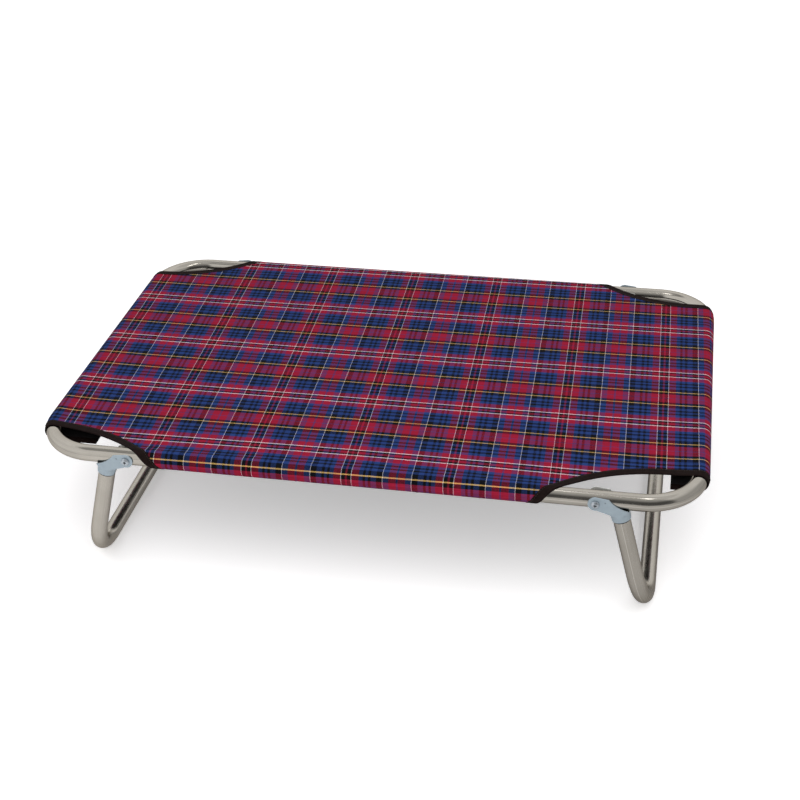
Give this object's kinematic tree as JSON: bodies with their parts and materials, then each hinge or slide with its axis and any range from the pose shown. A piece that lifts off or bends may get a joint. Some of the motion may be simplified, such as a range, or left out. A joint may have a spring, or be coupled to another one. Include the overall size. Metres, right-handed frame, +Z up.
{
  "type": "raised dog cot",
  "caption": "Low folding dog cot: woven tartan cover stretched over a bent round-tube frame with rounded corners, on two fold-under tube leg loops.",
  "frame": {"origin": "on the floor, under the middle of the cot", "axes": "+X along the cot, to the right in the picture; +Y away from the viewer; +Z up"},
  "size_m": [1.0044, 0.6772, 0.2298],
  "materials": {
    "tube_steel": "nickel-plated bent tube, bright with fine drawing lines",
    "zinc_plate": "bright zinc-plated pressing, pale blue grey",
    "zinc_fastener": "zinc-plated",
    "bush_steel": "turned",
    "rivet_aluminium": "plain",
    "tartan_cloth": "plain-woven tartan in red, blue, black, white and yellow, black on its back",
    "binding_tape": "woven tape, black-brown"
  },
  "bodies": {
    "frame": {"frame_half_left": "tube_steel", "frame_half_right": "tube_steel", "spigot_front": "tube_steel", "spigot_rear": "tube_steel", "joint_rivets": "rivet_aluminium", "pivot_bush_front_left": "bush_steel", "pivot_bush_front_right": "bush_steel", "pivot_bush_rear_left": "bush_steel", "pivot_bush_rear_right": "bush_steel", "pivot_screw_front_left": "zinc_fastener", "pivot_screw_front_right": "zinc_fastener", "pivot_screw_rear_left": "zinc_fastener", "pivot_screw_rear_right": "zinc_fastener", "pivot_washer_front_left": "zinc_fastener", "pivot_washer_front_right": "zinc_fastener", "pivot_washer_rear_left": "zinc_fastener", "pivot_washer_rear_right": "zinc_fastener", "pivot_nut_front_left": "zinc_fastener", "pivot_nut_front_right": "zinc_fastener", "pivot_nut_rear_left": "zinc_fastener", "pivot_nut_rear_right": "zinc_fastener", "fabric_cover": "tartan_cloth", "binding_front_left": "binding_tape", "binding_front_right": "binding_tape", "binding_rear_left": "binding_tape", "binding_rear_right": "binding_tape", "cover_rivets_front": "rivet_aluminium", "cover_rivets_rear": "rivet_aluminium", "cover_rivets_left": "rivet_aluminium", "cover_rivets_right": "rivet_aluminium"},
    "left_leg": {"leg_left": "tube_steel", "hinge_plate_front_left_outer": "zinc_plate", "hinge_plate_front_left_inner": "zinc_plate", "hinge_plate_rear_left_outer": "zinc_plate", "hinge_plate_rear_left_inner": "zinc_plate"},
    "right_leg": {"leg_right": "tube_steel", "hinge_plate_front_right_outer": "zinc_plate", "hinge_plate_front_right_inner": "zinc_plate", "hinge_plate_rear_right_outer": "zinc_plate", "hinge_plate_rear_right_inner": "zinc_plate"}
  },
  "joints": [
    {"name": "left_leg_fold", "type": "hinge", "parent": "frame", "child": "left_leg", "pos_m": [-0.345, 0, 0.21507], "axis": [0, -1, 0], "range_deg": [0, 104]},
    {"name": "right_leg_fold", "type": "hinge", "parent": "frame", "child": "right_leg", "pos_m": [0.345, 0, 0.21507], "axis": [0, 1, 0], "range_deg": [0, 104]}
  ]
}
